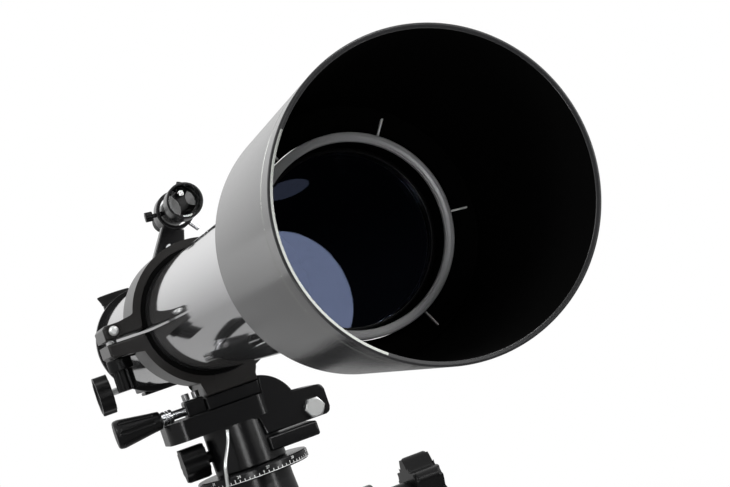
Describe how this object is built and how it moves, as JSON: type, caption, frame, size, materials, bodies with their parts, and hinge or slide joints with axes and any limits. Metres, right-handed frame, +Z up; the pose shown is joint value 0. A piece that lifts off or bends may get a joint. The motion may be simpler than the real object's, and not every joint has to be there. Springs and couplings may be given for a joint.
{
  "type": "refractor telescope",
  "caption": "Long white refracting telescope with a wide dark dew shield, finder and rack focuser, held in a felt-lined cradle on a turning head and tilting pillar.",
  "frame": {"origin": "centre of the base flange's bottom face, under the pillar axis", "axes": "+Z up along the pillar, +Y along the optical axis from the objective to the eyepiece, X along the tilt axis"},
  "size_m": [0.2024, 1.0432, 0.3479],
  "materials": {
    "white_enamel": "gloss white enamel on a drawn aluminium tube",
    "dark_plastic": "dark grey semi-gloss moulded plastic",
    "black_casting": "satin black enamel on cast aluminium",
    "black_plastic": "black moulded plastic",
    "black_felt": "black felt lining",
    "black_rubber": "soft black rubber",
    "matt_black": "matt black anti-reflection paint",
    "satin_aluminium": "satin turned aluminium",
    "zinc_steel": "zinc-plated steel",
    "chrome": "bright chrome plate",
    "chrome_aluminium": "bright plated aluminium tube",
    "coated_glass": "coated optical glass"
  },
  "bodies": {
    "base": {"base_yoke": "black_casting", "tilt_bolt": "zinc_steel"},
    "tilt_clamp": {"tilt_knob": "black_plastic"},
    "pillar": {"pillar_column": "black_casting", "setting_circle": "black_casting"},
    "head": {"head_casting": "black_casting", "head_hex_bolt": "zinc_steel", "index_pointer": "zinc_steel", "saddle_block": "black_casting", "slow_motion_bearing": "black_casting", "bearing_screw_1": "zinc_steel", "bearing_screw_2": "zinc_steel", "cradle_lower": "black_casting", "cradle_upper": "black_casting", "cradle_hinge_pin": "zinc_steel", "felt_lower": "black_felt", "felt_upper": "black_felt", "clamp_bolt": "zinc_steel"},
    "axis_lock": {"axis_lock_knob": "black_plastic"},
    "slow_motion": {"slow_motion_shaft": "chrome", "slow_motion_ferrule": "chrome", "slow_motion_handle": "black_plastic"},
    "cradle_clamp": {"clamp_knob": "black_plastic"},
    "telescope": {"main_tube": "white_enamel", "dew_shield": "dark_plastic", "lens_cell": "satin_aluminium", "lens_ring": "satin_aluminium", "lens_retainer": "matt_black", "crown_lens": "coated_glass", "lens_spacer": "matt_black", "flint_lens": "coated_glass", "baffle_front": "matt_black", "baffle_rear": "matt_black", "focuser_body": "black_plastic", "pinion_cover": "black_plastic", "finder_bracket": "black_casting", "finder_tube": "black_casting", "finder_objective": "coated_glass", "bracket_nut_1": "chrome", "bracket_nut_2": "chrome"},
    "pinion": {"pinion_shaft": "zinc_steel", "focus_knob_left": "black_plastic", "focus_knob_right": "black_plastic"},
    "drawtube": {"drawtube": "chrome_aluminium", "drawtube_rack": "black_plastic", "drawtube_adapter": "black_plastic"},
    "focus_lock": {"focus_lock_screw": "black_plastic"},
    "adapter_screw": {"adapter_set_screw": "black_plastic"},
    "diagonal": {"diagonal_body": "black_plastic", "diagonal_prism": "coated_glass"},
    "diagonal_screw": {"diagonal_set_screw": "black_plastic"},
    "eyepiece": {"eyepiece_barrel": "chrome", "eyepiece_housing": "black_plastic", "eyepiece_lens": "coated_glass", "eyecup": "black_rubber"},
    "finder_focus": {"finder_eyepiece": "black_plastic"},
    "finder_side_screw": {"finder_screw_side": "black_plastic"},
    "finder_top_screw": {"finder_screw_top": "black_plastic"},
    "finder_pin": {"finder_spring_pin": "chrome"}
  },
  "joints": [
    {"name": "tilt", "type": "hinge", "parent": "base", "child": "pillar", "pos_m": [0, 0, 0.066], "axis": [1, 0, 0], "range_deg": [-60, 20]},
    {"name": "tilt_clamp_turn", "type": "hinge", "parent": "base", "child": "tilt_clamp", "pos_m": [0.1, 0, 0.066], "axis": [1, 0, 0], "continuous": true},
    {"name": "head_turn", "type": "hinge", "parent": "pillar", "child": "head", "pos_m": [0, 0, 0.14], "axis": [0, 0, 1], "continuous": true},
    {"name": "axis_lock_turn", "type": "hinge", "parent": "head", "child": "axis_lock", "pos_m": [-0.036, 0, 0.14], "axis": [1, 0, 0], "continuous": true},
    {"name": "slow_motion_turn", "type": "hinge", "parent": "head", "child": "slow_motion", "pos_m": [-0.06, -0.012, 0.175], "axis": [1, 0, 0], "continuous": true},
    {"name": "cradle_clamp_turn", "type": "hinge", "parent": "head", "child": "cradle_clamp", "pos_m": [-0.063, 0, 0.212], "axis": [0, 0, 1], "continuous": true},
    {"name": "balance_slide", "type": "slide", "parent": "head", "child": "telescope", "axis": [0, 1, 0], "range_m": [-0.06, 0.06]},
    {"name": "drawtube_slide", "type": "slide", "parent": "telescope", "child": "drawtube", "axis": [0, 1, 0], "range_m": [-0.02, 0.055]},
    {"name": "pinion_turn", "type": "hinge", "parent": "telescope", "child": "pinion", "pos_m": [0, 0.3203, 0.20155], "axis": [1, 0, 0], "continuous": true},
    {"name": "focus_lock_turn", "type": "hinge", "parent": "telescope", "child": "focus_lock", "pos_m": [0, 0.3543, 0.27], "axis": [0, 0, 1], "continuous": true},
    {"name": "adapter_screw_turn", "type": "hinge", "parent": "drawtube", "child": "adapter_screw", "pos_m": [0, 0.4096, 0.265], "axis": [0, 0, 1], "continuous": true},
    {"name": "diagonal_turn", "type": "hinge", "parent": "drawtube", "child": "diagonal", "pos_m": [0, 0.4379, 0.235], "axis": [0, 1, 0], "continuous": true},
    {"name": "diagonal_screw_turn", "type": "hinge", "parent": "diagonal", "child": "diagonal_screw", "pos_m": [0, 0.46, 0.259], "axis": [0, 1, 0], "continuous": true},
    {"name": "eyepiece_slide", "type": "slide", "parent": "diagonal", "child": "eyepiece", "axis": [0, 0, 1], "range_m": [0, 0.03]},
    {"name": "finder_focus_turn", "type": "hinge", "parent": "telescope", "child": "finder_focus", "pos_m": [0.04226, 0.27, 0.32563], "axis": [0, 1, 0], "continuous": true},
    {"name": "finder_side_screw_turn", "type": "hinge", "parent": "telescope", "child": "finder_side_screw", "pos_m": [0.04226, 0.215, 0.32563], "axis": [-0.9962, 0, 0.0872], "continuous": true},
    {"name": "finder_top_screw_turn", "type": "hinge", "parent": "telescope", "child": "finder_top_screw", "pos_m": [0.04226, 0.215, 0.32563], "axis": [0.5446, 0, 0.8387], "continuous": true},
    {"name": "finder_pin_slide", "type": "slide", "parent": "telescope", "child": "finder_pin", "axis": [0.6018, 0, -0.7986], "range_m": [0, 0.002], "stiffness_N_per_m": 300}
  ],
  "couplings": [
    {"joint": "pinion_turn", "follows": "drawtube_slide", "rad_per_m": -200.1},
    {"joint": "slow_motion_turn", "follows": "head_turn", "ratio": 60}
  ]
}
